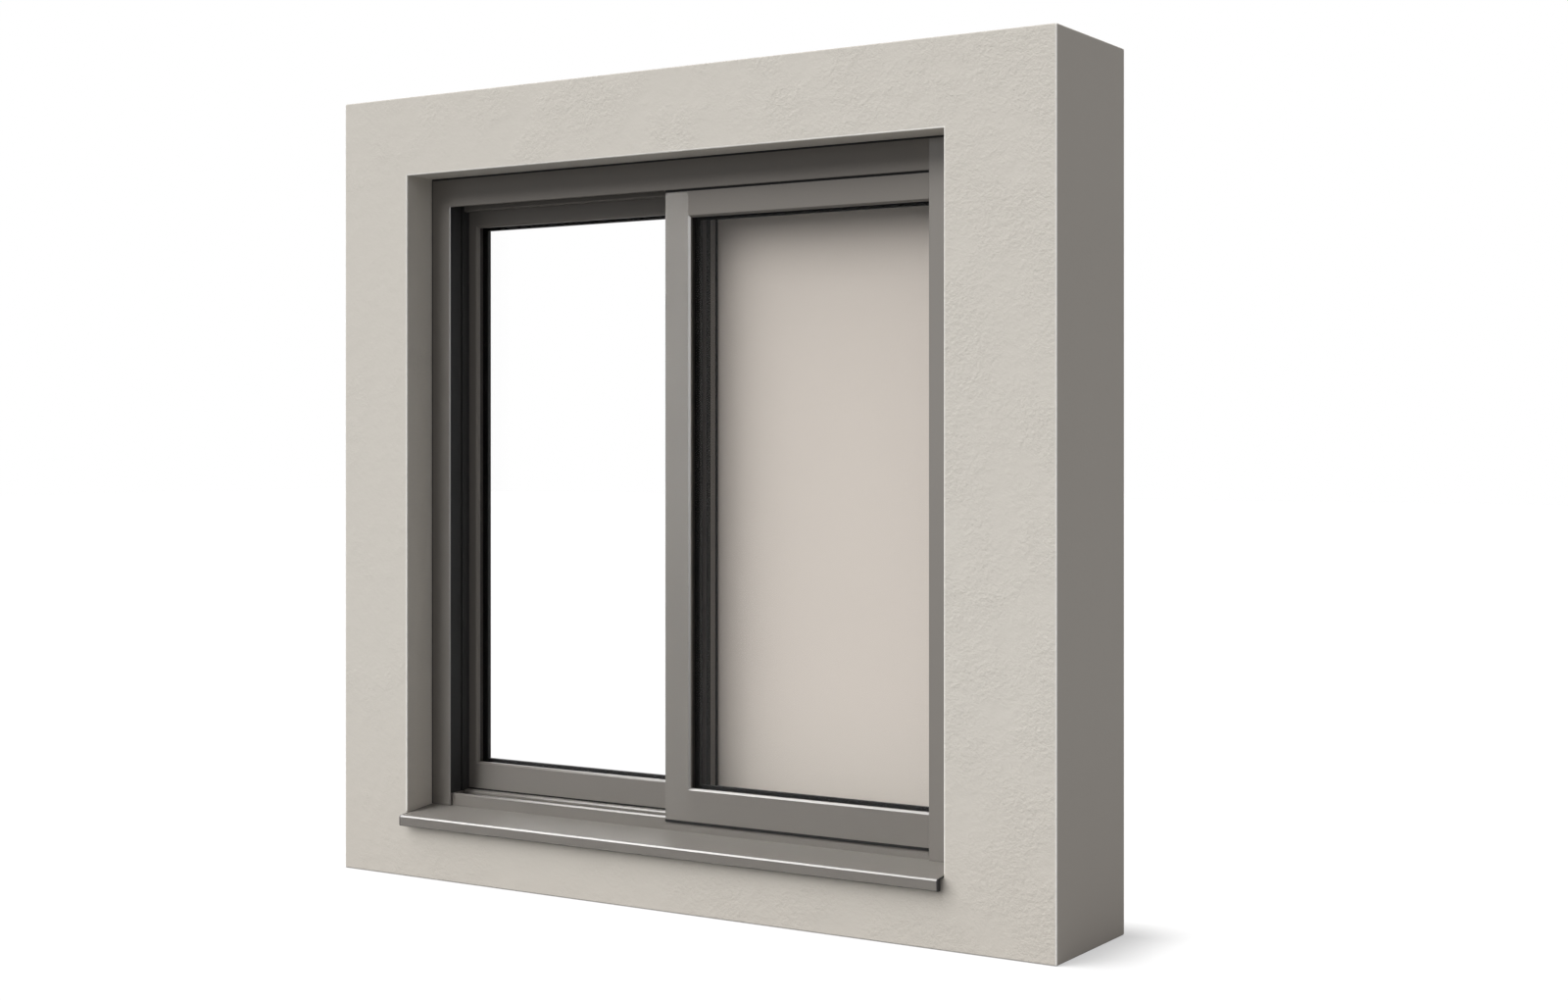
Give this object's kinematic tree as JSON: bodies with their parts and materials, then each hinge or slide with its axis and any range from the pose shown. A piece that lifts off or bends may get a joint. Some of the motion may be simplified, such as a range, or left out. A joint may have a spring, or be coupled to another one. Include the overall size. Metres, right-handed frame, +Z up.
{
  "type": "sliding window in a wall section",
  "caption": "Grey aluminium sliding window with a front and a rear glazed sash on parallel tracks, set with a projecting metal sill in a free-standing section of rendered wall.",
  "frame": {"origin": "middle of the wall section's bottom face", "axes": "+X to the right seen from outside, +Y from outside to inside, +Z up"},
  "size_m": [1.575, 0.297, 1.54],
  "materials": {
    "render": "fine beige render",
    "frame_coat": "satin grey powder coat",
    "sill_coat": "satin grey powder coat",
    "track_steel": "bright rolled strip",
    "clear_glass": "clear float glass",
    "gasket_rubber": "matt black",
    "joint_sealant": "dark grey sealant",
    "spacer_metal": "dark anodised",
    "roller_nylon": "black nylon",
    "dark_trim": "charcoal trim",
    "seal_pile": "dense black pile"
  },
  "bodies": {
    "root": {"frame_head": "frame_coat", "frame_left_jamb": "frame_coat", "frame_right_jamb": "frame_coat", "frame_sill": "frame_coat", "front_interlock": "dark_trim", "front_sash_beads": "dark_trim", "front_sash_bottom_rail": "frame_coat", "front_sash_gaskets": "gasket_rubber", "front_sash_left_stile": "frame_coat", "front_sash_panes": "clear_glass", "front_sash_right_stile": "frame_coat", "front_sash_rollers": "roller_nylon", "front_sash_spacer": "spacer_metal", "front_sash_top_rail": "frame_coat", "front_sash_top_seal": "gasket_rubber", "front_sash_wiper": "gasket_rubber", "front_track_rail": "track_steel", "left_jamb_cover": "dark_trim", "perimeter_sealant": "joint_sealant", "pile_seals": "seal_pile", "rear_interlock": "dark_trim", "rear_sash_beads": "dark_trim", "rear_sash_bottom_rail": "frame_coat", "rear_sash_gaskets": "gasket_rubber", "rear_sash_left_stile": "frame_coat", "rear_sash_panes": "clear_glass", "rear_sash_pull": "dark_trim", "rear_sash_right_stile": "frame_coat", "rear_sash_rollers": "roller_nylon", "rear_sash_spacer": "spacer_metal", "rear_sash_top_rail": "frame_coat", "rear_sash_wiper": "gasket_rubber", "rear_track_rail": "track_steel", "sill_end_cap_left": "dark_trim", "sill_end_cap_right": "dark_trim", "wall_base": "render", "wall_left_pier": "render", "wall_lintel": "render", "wall_niche_back": "render", "wall_right_pier": "render", "window_sill": "sill_coat"}
  },
  "joints": []
}
